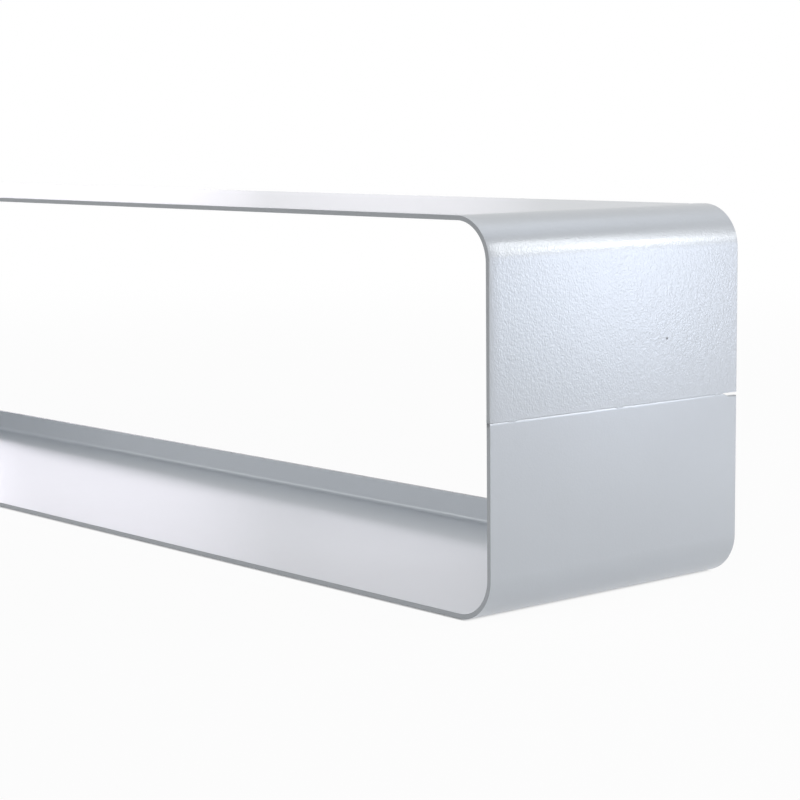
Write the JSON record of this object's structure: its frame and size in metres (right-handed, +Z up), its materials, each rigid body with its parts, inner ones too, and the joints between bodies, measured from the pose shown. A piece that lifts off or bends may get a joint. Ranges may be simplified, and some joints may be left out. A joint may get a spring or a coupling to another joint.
{
  "type": "wall cd rack",
  "caption": "Wall rack for disc cases: a loop of silver coated sheet metal with rounded corners, open in front, with lips along the rear that go against the wall.",
  "frame": {"origin": "middle of the footprint, on the plane that the floor rests on", "axes": "+X along the rack, +Y from the open front to the wall, +Z up"},
  "size_m": [0.9, 0.18, 0.2],
  "materials": {
    "shell_coat": "silver powder coat, semi-gloss, with a fine orange peel",
    "tack_coat": "the same silver powder coat over a dressed weld"
  },
  "bodies": {
    "root": {"lower_shell": "shell_coat", "upper_shell": "shell_coat", "tack_weld_right_front": "tack_coat", "tack_weld_right_middle": "tack_coat", "tack_weld_right_rear": "tack_coat", "tack_weld_left_front": "tack_coat", "tack_weld_left_middle": "tack_coat", "tack_weld_left_rear": "tack_coat"}
  },
  "joints": []
}
